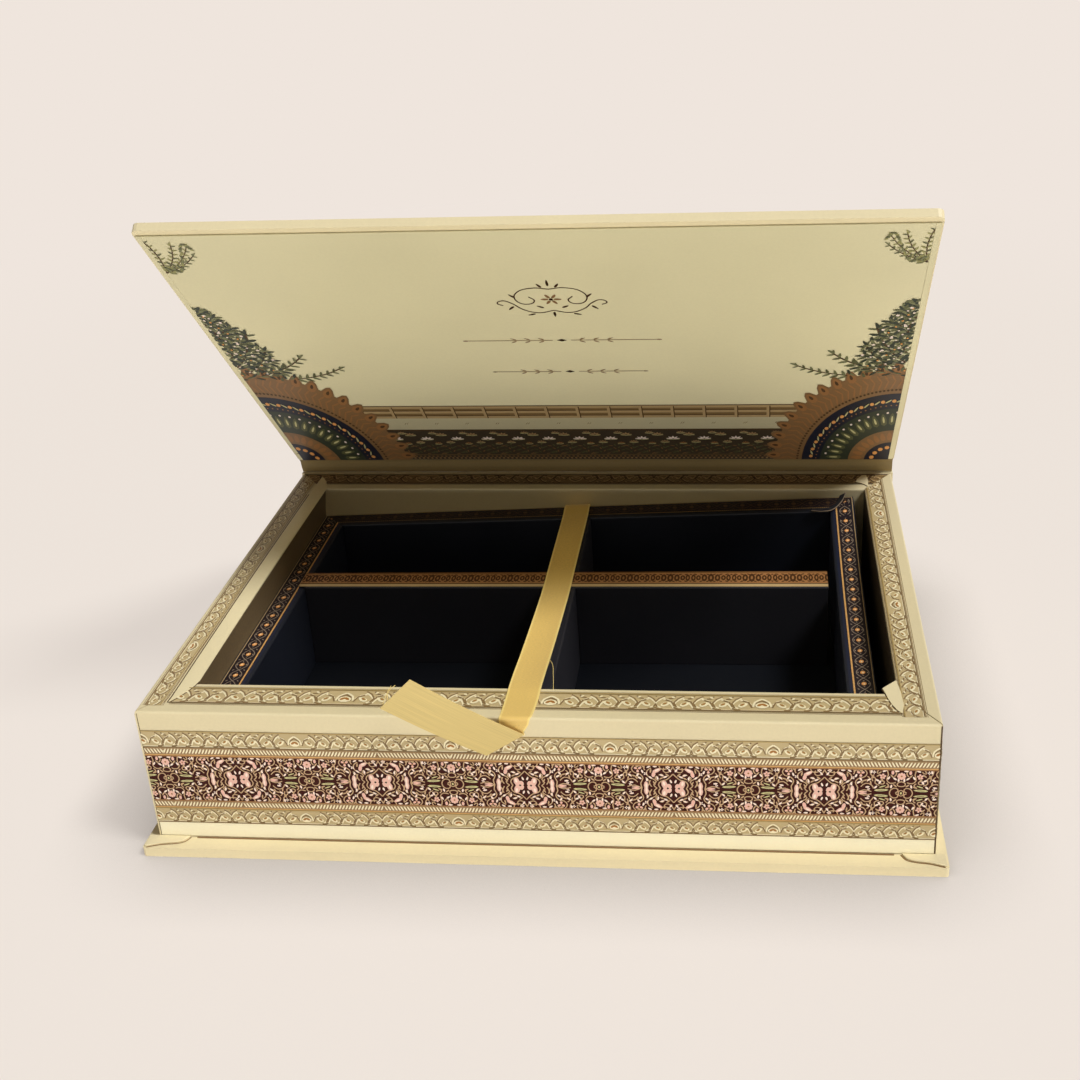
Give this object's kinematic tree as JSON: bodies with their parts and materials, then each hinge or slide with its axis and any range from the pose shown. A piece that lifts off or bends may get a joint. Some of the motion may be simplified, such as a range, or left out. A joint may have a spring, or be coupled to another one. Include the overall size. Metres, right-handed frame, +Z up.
{
  "type": "wedding invitation box",
  "caption": "Paper-covered presentation box with a flap lid on a book-style spine, hollow tray walls, a divided insert with four wells and a flat ribbon over the front edge",
  "frame": {"origin": "under the middle of the box's outline as it stands open, on the surface it stands on", "axes": "X runs along the hinge, to the right seen from the front; Y runs from the front face to the hinge; Z is up"},
  "size_m": [0.314, 0.232, 0.2343],
  "materials": {
    "plain_paper": "satin",
    "board": "matte",
    "dark_board": "satin",
    "printed_board": "satin",
    "divider_board": "satin",
    "liner_paper": "satin",
    "satin_ribbon": "satin"
  },
  "bodies": {
    "box": {"base_wrap": "plain_paper", "base_board": "board", "spine_wrap": "plain_paper", "spine_board": "board", "tray_floor": "dark_board", "tray_wall_front": "printed_board", "tray_wall_back": "printed_board", "tray_wall_left": "printed_board", "tray_wall_right": "printed_board", "corner_tab_front_left": "plain_paper", "corner_tab_front_right": "plain_paper", "corner_tab_back_left": "plain_paper", "corner_tab_back_right": "plain_paper", "insert_floor": "dark_board", "insert_wall_front": "dark_board", "insert_wall_back": "dark_board", "insert_wall_left": "dark_board", "insert_wall_right": "dark_board", "divider_long": "divider_board", "divider_cross": "divider_board", "lift_ribbon": "satin_ribbon"},
    "lid": {"lid_wrap": "plain_paper", "lid_board": "board", "lid_liner": "liner_paper", "hinge_strip": "plain_paper"}
  },
  "joints": [
    {"name": "lid_hinge", "type": "hinge", "parent": "box", "child": "lid", "pos_m": [0, 0.11436, 0.0628], "axis": [-1, 0, 0], "range_deg": [-47.7, 142.3]}
  ]
}
